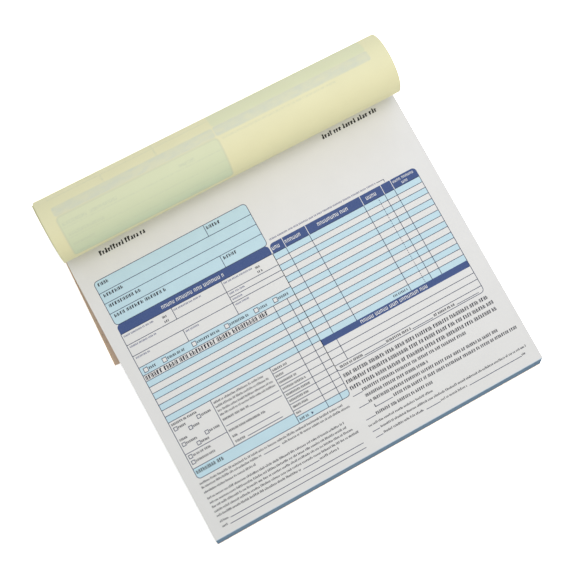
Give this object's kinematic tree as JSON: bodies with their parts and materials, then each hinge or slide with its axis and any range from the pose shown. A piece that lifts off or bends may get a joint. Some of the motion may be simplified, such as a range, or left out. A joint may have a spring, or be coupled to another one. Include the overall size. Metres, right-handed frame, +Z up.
{
  "type": "invoice book",
  "caption": "Top-bound book of white and canary duplicate forms on a kraft board, its cover folded under and its first set rolled up; leaves turn at the binding.",
  "frame": {"origin": "middle of the book's footprint on the table, at the underside of the folded cover", "axes": "+Z up, +Y from the free edge towards the binding, +X to the right of someone who reads the form"},
  "size_m": [0.2198, 0.2172, 0.0496],
  "materials": {
    "kraft_cover": "matte",
    "kraft_board": "matte",
    "padding_glue": "satin",
    "white_paper": "matte",
    "canary_paper": "matte"
  },
  "bodies": {
    "cover": {"cover_flap": "kraft_cover"},
    "book_block": {"cover_spine": "kraft_cover", "back_board": "kraft_board", "padding_glue": "padding_glue", "white_sheets": "white_paper", "canary_sheets": "canary_paper"},
    "canary_leaf": {"top_canary_sheet": "canary_paper"},
    "white_leaf": {"top_white_sheet": "white_paper"},
    "rolled_set": {"rolled_canary_sheet": "canary_paper", "rolled_white_sheet": "white_paper"}
  },
  "joints": [
    {"name": "block_lift", "type": "hinge", "parent": "cover", "child": "book_block", "pos_m": [0, 0.09547, 0.0005], "axis": [1, 0, 0], "range_deg": [-60, 0]},
    {"name": "canary_turn", "type": "hinge", "parent": "book_block", "child": "canary_leaf", "pos_m": [0, 0.09737, 0.011], "axis": [-1, 0, 0], "range_deg": [0, 20]},
    {"name": "white_turn", "type": "hinge", "parent": "canary_leaf", "child": "white_leaf", "pos_m": [0, 0.09737, 0.0111], "axis": [-1, 0, 0], "range_deg": [0, 25]},
    {"name": "roll_turn", "type": "hinge", "parent": "white_leaf", "child": "rolled_set", "pos_m": [0, 0.09737, 0.0113], "axis": [-1, 0, 0], "range_deg": [0, 40]}
  ]
}
